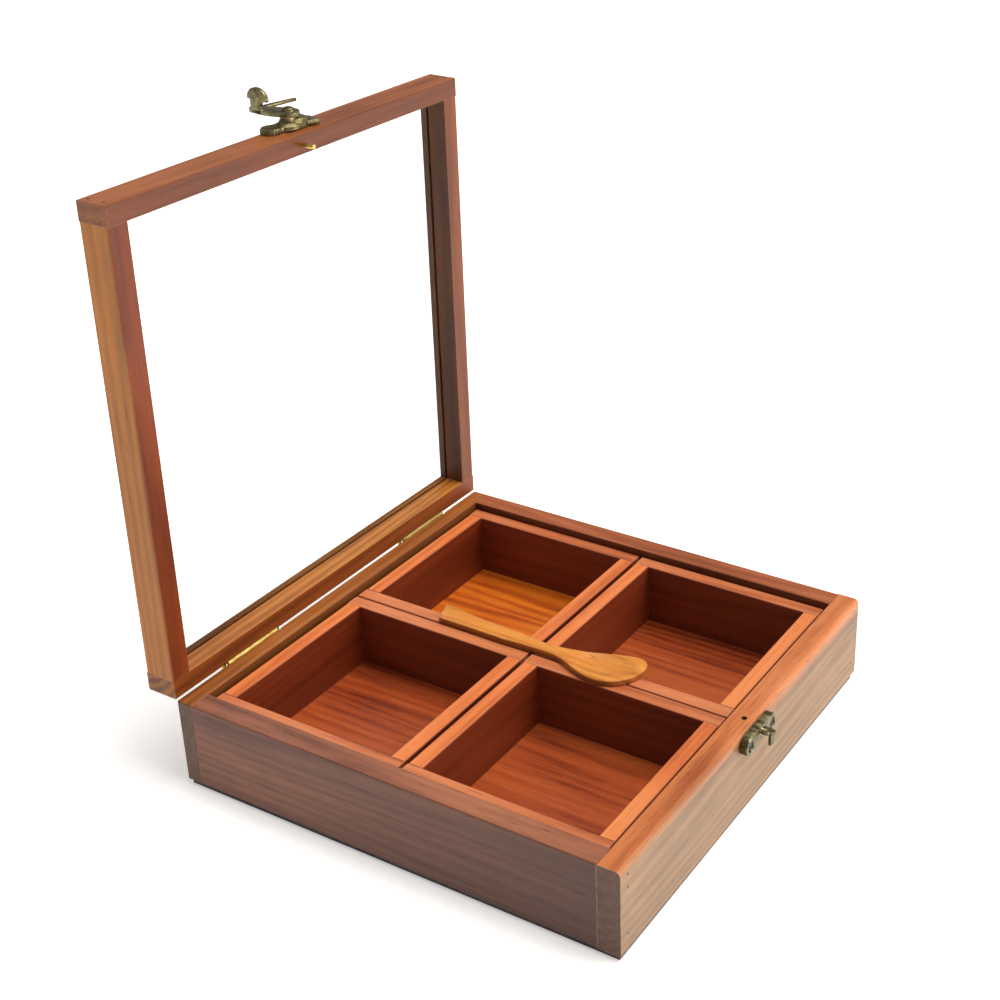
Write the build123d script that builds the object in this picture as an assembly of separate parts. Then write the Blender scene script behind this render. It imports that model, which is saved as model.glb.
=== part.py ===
from build123d import *
import os

# Wooden spice box: an open case with four lift-out trays, a glazed lid on two hinges, a swinging
# hook latch and a spoon. Millimetres. The origin is the middle of the underside, +X runs to the
# right seen from the latch side, +Y towards the hinges and +Z up. The lid is stored open.

# ---- Case ------------------------------------------------------------------------------------
case_width = 230.0
case_depth = 230.0
wall_height = 42.5
side_wall_thickness = 11.0
front_wall_thickness = 11.0
back_wall_thickness = 8.5
base_thickness = 3.0
base_inset = 1.5
edge_round = 0.8
rim_round = 0.5
worn_rim_round = 2.5

# ---- Lid -------------------------------------------------------------------------------------
lid_thickness = 16.0
lid_side_rail_width = 10.0
lid_end_rail_width = 9.0
lid_seat_gap = 0.2
glass_thickness = 2.5
glass_height = 10.0
glass_in_groove = 4.0
glass_edge_gap = 0.4
glass_top_gap = 0.3
lid_open_angle = 89.5

# ---- Trays -----------------------------------------------------------------------------------
tray_wall_thickness = 7.4
tray_below_rim = 3.5
tray_floor_thickness = 4.0
tray_floor_lift = 3.0
tray_floor_in_groove = 3.0
tray_floor_gap = 0.1
tray_side_gap = 0.5
tray_middle_gap_x = 0.6
tray_middle_gap_y = 2.0
tray_back_gap = 1.5
tray_front_gap = 2.6
tray_edge_round = 0.6

# ---- Nails, brads and screws -----------------------------------------------------------------
driven_gap = 0.04
brad_radius = 0.7
brad_length = 22.0
case_brad_depths = (4.0, 10.4, 34.0)
lid_brad_heights = (4.0, 12.5)
lid_brad_from_side = 3.0
base_nail_radius = 0.8
base_nail_head_radius = 1.8
base_nail_head_height = 0.8
base_nail_length = 18.0
base_nails_per_side = 3
base_nail_from_corner = 30.0
screw_slot_width = 0.5
screw_slot_depth = 0.5

# ---- Hinges ----------------------------------------------------------------------------------
hinge_centres = (-64.9, 67.6)
hinge_barrel_length = 33.5
hinge_knuckles = 4
hinge_knuckle_gap = 0.12
hinge_barrel_radius = 1.1
hinge_axis_behind_wall = 0.4
hinge_axis_above_rim = 0.1
hinge_pin_radius = 0.45
hinge_pin_gap = 0.05
hinge_leaf_thickness = 1.0
hinge_leaf_height = 13.0
hinge_leaf_gap = 0.3
hinge_notch_gap = 0.2
hinge_stop_width = 2.2
hinge_stop_reach = 2.2
hinge_stop_gap = 0.1
hinge_screw_from_end = 7.5
hinge_screw_from_edge = 7.5
hinge_screw_head_radius = 1.9
hinge_screw_radius = 1.0
hinge_screw_length = 6.5

# ---- Lid locating pin ------------------------------------------------------------------------
locating_pin_x = -1.0
locating_pin_from_front = 4.4
locating_pin_radius = 1.0
locating_pin_reach = 7.5
locating_pin_root = 6.0
locating_hole_gap = 0.4
locating_hole_depth = 10.0

# ---- Catch on the case -----------------------------------------------------------------------
catch_centre_x = -0.2
catch_below_rim = 6.2
catch_length = 29.0
catch_height = 9.2
catch_waist_height = 7.4
catch_thickness = 4.2
catch_neck_below_rim = 4.0
catch_neck_radius = 1.5
catch_head_width = 4.8
catch_head_height = 6.2
catch_head_thickness = 1.8
catch_head_below_rim = 5.6
catch_head_chamfer = 0.9
catch_screw_in_wood = 6.0
plate_edge_round = 0.7
plate_screw_from_centre = 9.6
plate_screw_head_radius = 2.2
plate_screw_radius = 1.1
plate_screw_head_height = 1.2
plate_screw_recess = 0.3

# ---- Latch on the lid ------------------------------------------------------------------------
latch_centre_x = 3.6
latch_pivot_offset = -0.6
latch_pivot_height = 9.2
latch_base_above_pivot = 0.8
latch_base_length = 29.0
latch_base_width = 9.2
latch_base_tilt = 11.0
latch_base_thickness = 3.0
latch_boss_foot_radius = 7.0
latch_boss_top_radius = 4.0
latch_boss_height = 6.2
latch_screw_from_centre = 11.2
latch_screw_head_radius = 1.9
latch_screw_in_wood = 4.0
lever_gap = 0.3
lever_thickness = 1.4
lever_eye_radius = 5.0
lever_arm_half_width = 4.2
lever_elbow_overhang = 8.0
lever_tongue_width = 3.2
lever_tip_width = 1.9
lever_tongue_reach = 17.0
lever_hook_gap = 0.3
lever_rest_tilt = 8.0
thumb_tab_height = 13.0
thumb_tab_neck_width = 6.4
thumb_tab_head_width = 12.0
thumb_tab_head_height = 4.8
thumb_tab_head_offset = 2.0
rivet_radius = 1.4
rivet_gap = 0.05
rivet_head_radius = 2.9
rivet_head_height = 1.5
rivet_head_gap = 0.1

# ---- Spoon -----------------------------------------------------------------------------------
spoon_thickness = 3.2
spoon_end_y = 57.5
spoon_end_width = 11.0
spoon_end_centre_x = 6.0
spoon_neck_y = -12.0
spoon_neck_width = 7.2
spoon_neck_centre_x = 4.0
spoon_bowl_y = -37.5
spoon_bowl_width = 24.6
spoon_bowl_centre_x = 4.6
spoon_tip_y = -53.5
spoon_edge_round = 1.2
spoon_dish_radius = 26.0
spoon_dish_depth = 1.7
spoon_dish_stretch = 4.5

# ---- Places worked out from the sizes --------------------------------------------------------
half_width = case_width / 2
half_depth = case_depth / 2
rim_z = base_thickness + wall_height
inner_left = -half_width + side_wall_thickness
inner_right = half_width - side_wall_thickness
inner_front = -half_depth + front_wall_thickness
inner_back = half_depth - back_wall_thickness
lid_z = rim_z + lid_seat_gap
lid_top_z = lid_z + lid_thickness
axis_y = half_depth + hinge_axis_behind_wall
axis_z = rim_z + hinge_axis_above_rim
hinge_axis = Axis((0, axis_y, axis_z), (1, 0, 0))
pivot_x = latch_centre_x + latch_pivot_offset
pivot_z = lid_z + latch_pivot_height
lever_low = latch_boss_height + lever_gap
lever_high = lever_low + lever_thickness
catch_neck_length = lever_high + lever_gap
tray_top_z = rim_z - tray_below_rim
tray_height = tray_top_z - base_thickness
tray_width = (inner_right - inner_left - 2 * tray_side_gap - tray_middle_gap_x) / 2
tray_depth = (inner_back - inner_front - tray_front_gap - tray_middle_gap_y - tray_back_gap) / 2

parts = {}


# ---- Helpers ---------------------------------------------------------------------------------
def block(x_low, x_high, y_low, y_high, z_low, z_high):
    """A box between two corners."""
    size = Box(x_high - x_low, y_high - y_low, z_high - z_low)
    return Pos((x_low + x_high) / 2, (y_low + y_high) / 2, (z_low + z_high) / 2) * size


def edges_at(shape, along, **place):
    """Straight edges parallel to an axis whose middle has the given X, Y or Z."""
    found = list(shape.edges().filter_by(along))
    for name, value in place.items():
        found = [edge for edge in found if abs(getattr(edge.center(), name) - value) < 0.01]
    return found


def rod(start, direction, radius, length):
    """A cylinder that grows from a point along a direction."""
    foot = Plane(origin=start, z_dir=direction)
    return foot * Cylinder(radius, length, align=(Align.CENTER, Align.CENTER, Align.MIN))


def screw(seat, outward, head_radius, head_height, shank_radius, shank_length, grow=0.0):
    """A countersunk screw whose head top is at seat; grow gives the hole that takes it."""
    across = (1, 0, 0)
    head_place = Plane(origin=seat, x_dir=across, z_dir=outward)
    align_top = (Align.CENTER, Align.CENTER, Align.MAX)
    head = Cone(shank_radius + grow, head_radius + grow, head_height, align=align_top)
    shank = Cylinder(shank_radius + grow, head_height + shank_length + grow, align=align_top)
    body = head + shank
    if grow:
        clear_top = (Align.CENTER, Align.CENTER, Align.MIN)
        body += Cylinder(head_radius + grow, 2.0, align=clear_top)
    else:
        body -= Box(2.5 * head_radius, screw_slot_width, 2 * screw_slot_depth)
    return head_place * body


def nail(seat, inward, radius, length, grow=0.0):
    """A plain driven nail with its end at seat; grow gives the hole that takes it."""
    return rod(seat, inward, radius + grow, length + grow)


def opened(shape):
    """A lid piece turned from closed to its stored open place."""
    return shape.rotate(hinge_axis, -lid_open_angle)


def save_all():
    """Write each piece to its own file."""
    os.makedirs("parts", exist_ok=True)
    for name, shape in parts.items():
        export_step(shape, f"parts/{name}.step")


# ---- Case walls and base ---------------------------------------------------------------------
def make_case():
    """Four butt-jointed walls, with the end walls running the full width, on a nailed base."""
    front = block(-half_width, half_width, -half_depth, inner_front, base_thickness, rim_z)
    front = fillet(edges_at(front, Axis.X, Y=-half_depth, Z=rim_z), worn_rim_round)
    front = fillet(edges_at(front, Axis.X, Y=inner_front, Z=rim_z), rim_round)
    front = fillet(edges_at(front, Axis.X, Y=-half_depth, Z=base_thickness), edge_round)
    back = block(-half_width, half_width, inner_back, half_depth, base_thickness, rim_z)
    back = fillet(edges_at(back, Axis.X, Z=rim_z), rim_round)
    back = fillet(edges_at(back, Axis.Z, Y=half_depth), edge_round)
    left = block(-half_width, inner_left, inner_front, inner_back, base_thickness, rim_z)
    left = fillet(edges_at(left, Axis.Y, X=-half_width), edge_round)
    left = fillet(edges_at(left, Axis.Y, X=inner_left, Z=rim_z), rim_round)
    right = mirror(left, about=Plane.YZ)
    base = block(-half_width + base_inset, half_width - base_inset, -half_depth + base_inset,
                 half_depth - base_inset, 0, base_thickness)
    return {"case_front_wall": front, "case_back_wall": back, "case_left_wall": left,
            "case_right_wall": right, "case_base_panel": base}


def corner_brads(grow=0.0):
    """Brads driven through the end walls into the end grain of the side walls."""
    brads = []
    for side in (-1, 1):
        x = side * (half_width - side_wall_thickness / 2)
        for depth in case_brad_depths:
            z = rim_z - depth
            for y_sign in (-1, 1):
                seat = (x, y_sign * half_depth, z)
                brads.append(nail(seat, (0, -y_sign, 0), brad_radius, brad_length, grow))
    return brads


def base_nails(grow=0.0):
    """Flat-headed nails driven up through the base into the middle of each wall."""
    nails = []
    span_x = case_width - 2 * base_nail_from_corner
    span_y = case_depth - 2 * base_nail_from_corner
    side_x = half_width - side_wall_thickness / 2
    front_y = -half_depth + front_wall_thickness / 2
    back_y = half_depth - back_wall_thickness / 2
    places = []
    for step in range(base_nails_per_side):
        share = step / (base_nails_per_side - 1) - 0.5
        places += [(share * span_x, front_y), (share * span_x, back_y)]
        places += [(-side_x, share * span_y), (side_x, share * span_y)]
    for x, y in places:
        stem = nail((x, y, 0), (0, 0, 1), base_nail_radius, base_nail_length, grow)
        head = rod((x, y, 0), (0, 0, 1), base_nail_head_radius + grow, base_nail_head_height + grow)
        nails.append(stem + head)
    return nails


# ---- Lid frame and glass ---------------------------------------------------------------------
def make_lid():
    """Four rails grooved for one pane, in the closed place."""
    end_y = half_depth - lid_end_rail_width
    side_x = half_width - lid_side_rail_width
    front = block(-half_width, half_width, -half_depth, -end_y, lid_z, lid_top_z)
    front = fillet(edges_at(front, Axis.X, Y=-half_depth), edge_round)
    back = block(-half_width, half_width, end_y, half_depth, lid_z, lid_top_z)
    back = fillet(edges_at(back, Axis.X, Y=half_depth, Z=lid_top_z), edge_round)
    left = block(-half_width, -side_x, -end_y, end_y, lid_z, lid_top_z)
    left = fillet(edges_at(left, Axis.Y, X=-half_width), edge_round)
    pane_x = side_x + glass_in_groove - glass_edge_gap
    pane_y = end_y + glass_in_groove - glass_edge_gap
    pane_z = lid_z + glass_height
    pane = block(-pane_x, pane_x, -pane_y, pane_y, pane_z, pane_z + glass_thickness)
    groove_x = side_x + glass_in_groove
    groove_y = end_y + glass_in_groove
    groove = block(-groove_x, groove_x, -groove_y, groove_y, pane_z,
                   pane_z + glass_thickness + glass_top_gap)
    left -= groove
    return {"lid_front_rail": front - groove, "lid_back_rail": back - groove, "lid_left_rail": left,
            "lid_right_rail": mirror(left, about=Plane.YZ), "lid_glass_pane": pane}


def lid_brads(grow=0.0):
    """Brads driven through the end rails of the lid into its side rails, clear of the groove."""
    brads = []
    for x in (-half_width + lid_brad_from_side, half_width - lid_brad_from_side):
        for height in lid_brad_heights:
            for y_sign in (-1, 1):
                seat = (x, y_sign * half_depth, lid_z + height)
                brads.append(nail(seat, (0, -y_sign, 0), brad_radius, brad_length, grow))
    return brads


def locating_pin(grow=0.0):
    """Pin under the front rail of the lid that drops into a hole in the rim of the case."""
    y = -half_depth + locating_pin_from_front
    length = locating_pin_reach + locating_pin_root + grow
    foot = (locating_pin_x, y, lid_z - locating_pin_reach)
    return rod(foot, (0, 0, 1), locating_pin_radius + grow, length)


def locating_hole():
    """Hole in the front wall that takes the pin with room for its arc."""
    y = -half_depth + locating_pin_from_front
    radius = locating_pin_radius + locating_hole_gap
    return rod((locating_pin_x, y, rim_z + 1), (0, 0, -1), radius, locating_hole_depth + 1)


# ---- Hinges ----------------------------------------------------------------------------------
def barrel_piece(x_low, x_high):
    """Solid length of the hinge barrel."""
    return rod((x_low, axis_y, axis_z), (1, 0, 0), hinge_barrel_radius, x_high - x_low)


def hinge_screws(centre_x, on_lid, grow=0.0):
    """The two screws through one leaf of one hinge."""
    z = rim_z - hinge_screw_from_edge
    if on_lid:
        z = lid_z + hinge_screw_from_edge
    from_middle = hinge_barrel_length / 2 - hinge_screw_from_end
    face_y = half_depth + hinge_leaf_thickness
    screws = []
    for x in (centre_x - from_middle, centre_x + from_middle):
        screws.append(screw((x, face_y, z), (0, 1, 0), hinge_screw_head_radius,
                            hinge_leaf_thickness, hinge_screw_radius, hinge_screw_length, grow))
    return screws


def make_hinge(centre_x):
    """Case leaf, lid leaf and pin of one stop hinge, closed."""
    barrel_low = centre_x - hinge_barrel_length / 2
    barrel_high = centre_x + hinge_barrel_length / 2
    stop_room = hinge_stop_width + hinge_leaf_gap
    leaf_low = barrel_low - stop_room
    leaf_high = barrel_high + stop_room
    outer_y = half_depth + hinge_leaf_thickness
    clear = hinge_barrel_radius + hinge_leaf_gap
    case_leaf = block(leaf_low, leaf_high, half_depth, outer_y, rim_z - hinge_leaf_height,
                      axis_z - clear)
    lid_leaf = block(leaf_low, leaf_high, half_depth, outer_y, axis_z + clear,
                     lid_z + hinge_leaf_height)
    pitch = hinge_barrel_length / hinge_knuckles
    for number in range(hinge_knuckles):
        x_low = barrel_low + number * pitch + hinge_knuckle_gap / 2
        x_high = barrel_low + (number + 1) * pitch - hinge_knuckle_gap / 2
        if number % 2 == 0:
            case_leaf += block(x_low, x_high, half_depth, outer_y, axis_z - clear, axis_z)
            case_leaf += barrel_piece(x_low, x_high)
        else:
            lid_leaf += block(x_low, x_high, half_depth, outer_y, axis_z, axis_z + clear)
            lid_leaf += barrel_piece(x_low, x_high)
    # Stop tabs stand out beyond the barrel and meet the case leaf when the lid is open.
    stop_low = axis_z + outer_y - axis_y + hinge_stop_gap
    stop_high = stop_low + hinge_leaf_thickness
    stop_end = axis_y + clear + hinge_stop_reach
    for x_low in (leaf_low, leaf_high - hinge_stop_width):
        x_high = x_low + hinge_stop_width
        lid_leaf += block(x_low, x_high, half_depth, stop_end, stop_low, stop_high)
    bore = rod((barrel_low - 1, axis_y, axis_z), (1, 0, 0), hinge_pin_radius + hinge_pin_gap,
               hinge_barrel_length + 2)
    pin = rod((barrel_low, axis_y, axis_z), (1, 0, 0), hinge_pin_radius, hinge_barrel_length)
    case_leaf -= bore
    lid_leaf -= bore
    for hole in hinge_screws(centre_x, False, driven_gap):
        case_leaf -= hole
    for hole in hinge_screws(centre_x, True, driven_gap):
        lid_leaf -= hole
    return case_leaf, lid_leaf, pin


def hinge_notch(centre_x):
    """Room for one barrel and its stop tabs in the meeting edges of the case and the lid."""
    half = hinge_barrel_length / 2 + hinge_leaf_gap + hinge_stop_width
    room = hinge_barrel_radius + hinge_notch_gap
    return block(centre_x - half, centre_x + half, axis_y - room, half_depth + 1,
                 axis_z - room, axis_z + room)


# ---- Catch plate and latch -------------------------------------------------------------------
def face_plane(x, z):
    """Plane on the front face, X to the right, Y up, and its normal outwards."""
    return Plane(origin=(x, -half_depth, z), x_dir=(1, 0, 0), z_dir=(0, -1, 0))


def plate_screws(centre_x, centre_z, spread, tilt, thickness, head_radius, in_wood, grow=0.0):
    """Two screws set into a plate on the front face."""
    screws = []
    for side in (-1, 1):
        place = Plane(face_plane(centre_x, centre_z).location * Rot(0, 0, tilt)
                      * Pos(side * spread, 0, thickness - plate_screw_recess))
        length = thickness - plate_screw_recess - plate_screw_head_height + in_wood
        screws.append(screw(place.origin, (0, -1, 0), head_radius, plate_screw_head_height,
                            plate_screw_radius, length, grow))
    return screws


def catch_screws(grow=0.0):
    """The two screws of the catch plate."""
    return plate_screws(catch_centre_x, rim_z - catch_below_rim, plate_screw_from_centre, 0.0,
                        catch_thickness, plate_screw_head_radius, catch_screw_in_wood, grow)


def latch_screws(grow=0.0):
    """The two screws of the latch base."""
    return plate_screws(latch_centre_x, pivot_z + latch_base_above_pivot, latch_screw_from_centre,
                        -latch_base_tilt, latch_base_thickness, latch_screw_head_radius,
                        latch_screw_in_wood, grow)


def make_catch():
    """Thick bow-shaped plate with a short neck and an overhanging head for the hook."""
    place = face_plane(catch_centre_x, rim_z - catch_below_rim)
    lobe_radius = catch_height / 2
    lobe_x = catch_length / 2 - lobe_radius
    outline = Rectangle(2 * lobe_x, catch_waist_height)
    outline += Pos(-lobe_x, 0) * Circle(lobe_radius)
    outline += Pos(lobe_x, 0) * Circle(lobe_radius)
    plate = place * extrude(outline, catch_thickness)
    front_edges = plate.faces().sort_by(Axis.Y)[0].edges()
    plate = fillet(front_edges, plate_edge_round)
    neck = rod((catch_centre_x, -half_depth - catch_thickness, rim_z - catch_neck_below_rim),
               (0, -1, 0), catch_neck_radius, catch_neck_length - catch_thickness + 0.2)
    neck += rod((catch_centre_x, -half_depth - catch_thickness + 0.5, rim_z - catch_neck_below_rim),
                (0, -1, 0), catch_neck_radius, 1.0)
    head_place = face_plane(catch_centre_x, rim_z - catch_head_below_rim)
    head = extrude(Rectangle(catch_head_width, catch_head_height), catch_head_thickness)
    head = chamfer(head.edges().filter_by(Axis.Z), catch_head_chamfer)
    head = fillet(head.faces().sort_by(Axis.Z)[-1].edges(), plate_edge_round / 2)
    head = head_place * Pos(0, 0, catch_neck_length) * head
    catch = plate + neck + head
    for hole in catch_screws(driven_gap):
        catch -= hole
    return catch


def rivet(grow=0.0):
    """Rivet that the lever turns on: a shank set into the base under a domed head."""
    place = face_plane(pivot_x, pivot_z)
    shank_low = latch_base_thickness
    shank = Pos(0, 0, shank_low) * Cylinder(rivet_radius + grow, lever_high - shank_low + 0.5,
                                            align=(Align.CENTER, Align.CENTER, Align.MIN))
    if grow:
        return place * shank
    dome_radius = (rivet_head_radius ** 2 + rivet_head_height ** 2) / (2 * rivet_head_height)
    dome_base = lever_high + rivet_head_gap
    dome = Pos(0, 0, dome_base + rivet_head_height - dome_radius) * Sphere(dome_radius)
    dome &= Pos(0, 0, dome_base) * Cylinder(rivet_head_radius, rivet_head_height,
                                            align=(Align.CENTER, Align.CENTER, Align.MIN))
    return place * (shank + dome)


def make_latch_base():
    """Pill-shaped base with a flared boss under the eye of the lever."""
    place = face_plane(latch_centre_x, pivot_z + latch_base_above_pivot)
    outline = Rot(0, 0, -latch_base_tilt) * SlotOverall(latch_base_length, latch_base_width)
    plate = extrude(outline, latch_base_thickness)
    plate = fillet(plate.faces().sort_by(Axis.Z)[-1].edges(), plate_edge_round)
    boss = Cone(latch_boss_foot_radius, latch_boss_top_radius, latch_boss_height,
                align=(Align.CENTER, Align.CENTER, Align.MIN))
    boss = Pos(latch_pivot_offset, -latch_base_above_pivot, 0) * boss
    boss &= extrude(outline, latch_boss_height)
    base = place * (plate + boss)
    base -= rivet(driven_gap)
    for hole in latch_screws(driven_gap):
        base -= hole
    return base


def make_lever():
    """Hook lever drawn swung up: an eye, an arm, a tongue to the right and a thumb tab."""
    hook_inner = latch_pivot_height + lid_seat_gap + catch_neck_below_rim + catch_neck_radius
    hook_inner += lever_hook_gap
    tongue_outer = hook_inner + lever_tongue_width
    elbow_x = -lever_elbow_overhang
    arm = Polyline(
        (-lever_eye_radius * 0.98, 0.8), (elbow_x, hook_inner / 2), (elbow_x, hook_inner),
        (elbow_x + 1.8, tongue_outer), (0, tongue_outer),
        (lever_tongue_reach - 0.8, hook_inner + lever_tip_width),
        (lever_tongue_reach, hook_inner + lever_tip_width / 2),
        (lever_tongue_reach - 0.6, hook_inner), (-0.5, hook_inner),
        (lever_arm_half_width - 2.2, hook_inner / 2), (lever_arm_half_width, 2.5), (0, 0),
        close=True)
    outline = make_face(arm) + Circle(lever_eye_radius) - Circle(rivet_radius + rivet_gap)
    lever = Pos(0, 0, lever_low) * extrude(outline, lever_thickness)
    neck_middle = hook_inner - thumb_tab_neck_width / 2
    head_middle = neck_middle - thumb_tab_head_offset
    head_low = thumb_tab_height - thumb_tab_head_height
    side = Plane(origin=(elbow_x, 0, lever_low), x_dir=(0, 1, 0), z_dir=(1, 0, 0))
    neck = Pos(neck_middle, (head_low + 1) / 2) * Rectangle(thumb_tab_neck_width, head_low + 1)
    half_head = thumb_tab_head_width / 2
    dome = Polyline((-half_head, 0), (half_head, 0))
    dome += ThreePointArc((half_head, 0), (0, thumb_tab_head_height), (-half_head, 0))
    head = Pos(head_middle, head_low) * make_face(dome)
    lever += extrude(side * (neck + head), lever_thickness)
    lever = lever.rotate(Axis.Z, -lever_rest_tilt)
    return face_plane(pivot_x, pivot_z) * lever


# ---- Trays -----------------------------------------------------------------------------------
def make_tray(x_low, y_low):
    """Four walls round a grooved-in floor; the side walls run the full depth."""
    x_high = x_low + tray_width
    y_high = y_low + tray_depth
    low = base_thickness
    wall = tray_wall_thickness
    floor_low = low + tray_floor_lift
    groove = tray_floor_in_groove
    floor_space = block(x_low + wall - groove, x_high - wall + groove, y_low + wall - groove,
                        y_high - wall + groove, floor_low,
                        floor_low + tray_floor_thickness + tray_floor_gap)
    floor = block(x_low + wall - groove + tray_floor_gap, x_high - wall + groove - tray_floor_gap,
                  y_low + wall - groove + tray_floor_gap, y_high - wall + groove - tray_floor_gap,
                  floor_low, floor_low + tray_floor_thickness)
    left = block(x_low, x_low + wall, y_low, y_high, low, tray_top_z)
    left = fillet(edges_at(left, Axis.Y, Z=tray_top_z) + edges_at(left, Axis.Z, X=x_low),
                  tray_edge_round)
    right = block(x_high - wall, x_high, y_low, y_high, low, tray_top_z)
    right = fillet(edges_at(right, Axis.Y, Z=tray_top_z) + edges_at(right, Axis.Z, X=x_high),
                   tray_edge_round)
    front = block(x_low + wall, x_high - wall, y_low, y_low + wall, low, tray_top_z)
    front = fillet(edges_at(front, Axis.X, Z=tray_top_z), tray_edge_round)
    back = block(x_low + wall, x_high - wall, y_high - wall, y_high, low, tray_top_z)
    back = fillet(edges_at(back, Axis.X, Z=tray_top_z), tray_edge_round)
    return {"left_wall": left - floor_space, "right_wall": right - floor_space,
            "front_wall": front - floor_space, "back_wall": back - floor_space, "floor": floor}


# ---- Spoon -----------------------------------------------------------------------------------
def make_spoon():
    """Flat wooden spoon with a dished bowl, lying on the tops of the tray walls."""
    end_half = spoon_end_width / 2
    neck_half = spoon_neck_width / 2
    bowl_half = spoon_bowl_width / 2
    end_left = (spoon_end_centre_x - end_half, spoon_end_y - 2.5)
    end_right = (spoon_end_centre_x + end_half, spoon_end_y)
    neck_left = (spoon_neck_centre_x - neck_half, spoon_neck_y)
    neck_right = (spoon_neck_centre_x + neck_half, spoon_neck_y)
    bowl_left = (spoon_bowl_centre_x - bowl_half, spoon_bowl_y)
    bowl_right = (spoon_bowl_centre_x + bowl_half, spoon_bowl_y)
    tip = (spoon_bowl_centre_x + 1.0, spoon_tip_y)
    outline = Polyline(neck_left, end_left)
    outline += ThreePointArc(end_left, (spoon_end_centre_x - 1.0, spoon_end_y - 0.4), end_right)
    outline += Polyline(end_right, neck_right)
    outline += Spline(neck_right, bowl_right, tip, bowl_left, neck_left,
                      tangents=((-0.03, -1), (0.03, 1)))
    blank = Pos(0, 0, tray_top_z) * extrude(make_face(outline), spoon_thickness)
    top_edges = blank.faces().sort_by(Axis.Z)[-1].edges()
    low_edges = blank.faces().sort_by(Axis.Z)[0].edges()
    blank = fillet(top_edges + low_edges, spoon_edge_round)
    dish_z = tray_top_z + spoon_thickness - spoon_dish_depth + spoon_dish_radius
    first = (spoon_bowl_centre_x, spoon_bowl_y + 1 - spoon_dish_stretch, dish_z)
    last = (spoon_bowl_centre_x, spoon_bowl_y + 1 + spoon_dish_stretch, dish_z)
    dish = Pos(*first) * Sphere(spoon_dish_radius) + Pos(*last) * Sphere(spoon_dish_radius)
    dish += rod(first, (0, 1, 0), spoon_dish_radius, 2 * spoon_dish_stretch)
    return blank - dish


# ---- Putting the pieces together -------------------------------------------------------------
case_pieces = make_case()
lid_pieces = make_lid()

for hole in corner_brads(driven_gap) + base_nails(driven_gap) + catch_screws(driven_gap):
    for name in case_pieces:
        case_pieces[name] -= hole
for hole in lid_brads(driven_gap) + latch_screws(driven_gap) + [locating_pin(driven_gap)]:
    for name in ("lid_front_rail", "lid_back_rail", "lid_left_rail", "lid_right_rail"):
        lid_pieces[name] -= hole
case_pieces["case_front_wall"] -= locating_hole()

hinge_names = ("hinge_left", "hinge_right")
for name, centre_x in zip(hinge_names, hinge_centres):
    case_leaf, lid_leaf, hinge_pin = make_hinge(centre_x)
    parts[f"{name}_case_leaf"] = case_leaf
    parts[f"{name}_lid_leaf"] = opened(lid_leaf)
    parts[f"{name}_pin"] = hinge_pin
    case_pieces["case_back_wall"] -= hinge_notch(centre_x)
    lid_pieces["lid_back_rail"] -= hinge_notch(centre_x)
    for hole in hinge_screws(centre_x, False, driven_gap):
        case_pieces["case_back_wall"] -= hole
    for hole in hinge_screws(centre_x, True, driven_gap):
        lid_pieces["lid_back_rail"] -= hole

parts.update(case_pieces)
for name, piece in lid_pieces.items():
    parts[name] = opened(piece)

parts["case_corner_brads"] = Compound(corner_brads())
parts["case_base_nails"] = Compound(base_nails())
parts["lid_corner_brads"] = opened(Compound(lid_brads()))
parts["lid_locating_pin"] = opened(locating_pin())
case_hinge_screws = []
lid_hinge_screws = []
for centre_x in hinge_centres:
    case_hinge_screws += hinge_screws(centre_x, False)
    lid_hinge_screws += hinge_screws(centre_x, True)
parts["hinge_case_screws"] = Compound(case_hinge_screws)
parts["hinge_lid_screws"] = opened(Compound(lid_hinge_screws))

parts["catch_plate"] = make_catch()
parts["catch_screws"] = Compound(catch_screws())
parts["latch_base"] = opened(make_latch_base())
parts["latch_lever"] = opened(make_lever())
parts["latch_rivet"] = opened(rivet())
parts["latch_screws"] = opened(Compound(latch_screws()))

tray_columns = {"left": inner_left + tray_side_gap, "right": tray_middle_gap_x / 2}
tray_columns["right"] = tray_columns["left"] + tray_width + tray_middle_gap_x
tray_rows = {"front": inner_front + tray_front_gap, "back": inner_back - tray_back_gap - tray_depth}
for row, y_low in tray_rows.items():
    for column, x_low in tray_columns.items():
        for piece_name, piece in make_tray(x_low, y_low).items():
            parts[f"tray_{row}_{column}_{piece_name}"] = piece

parts["spoon"] = make_spoon()

save_all()
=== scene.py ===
# %% [markdown]
# # A wooden spice box with a glazed lid
#
# The real object is a square wooden box. Four loose wooden trays stand in it, its lid is a frame round a pane
# of glass, and a hook latch and two hinges are the only metal. The joiner's model of it is loaded first. Its
# boards already have their true size and rounded edges, so they stay, and this lesson gives them their
# finish. Pieces that were cast or carved are modelled again, because a few extrusions can't give their soft
# shapes.

# %% Load the frame
import math
import bpy
from mathutils import Matrix, Vector


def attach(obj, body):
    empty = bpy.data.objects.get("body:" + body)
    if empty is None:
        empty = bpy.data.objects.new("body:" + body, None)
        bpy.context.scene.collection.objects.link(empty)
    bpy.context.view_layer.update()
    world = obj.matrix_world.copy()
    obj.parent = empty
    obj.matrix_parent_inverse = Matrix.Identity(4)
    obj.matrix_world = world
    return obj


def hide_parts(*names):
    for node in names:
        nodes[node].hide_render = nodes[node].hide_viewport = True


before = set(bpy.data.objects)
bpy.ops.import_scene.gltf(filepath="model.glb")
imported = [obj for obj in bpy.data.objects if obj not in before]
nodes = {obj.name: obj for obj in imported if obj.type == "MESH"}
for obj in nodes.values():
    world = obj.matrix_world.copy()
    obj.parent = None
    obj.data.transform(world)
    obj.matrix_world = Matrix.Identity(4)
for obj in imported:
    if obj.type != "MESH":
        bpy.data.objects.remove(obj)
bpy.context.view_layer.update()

MM = 0.001


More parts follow.
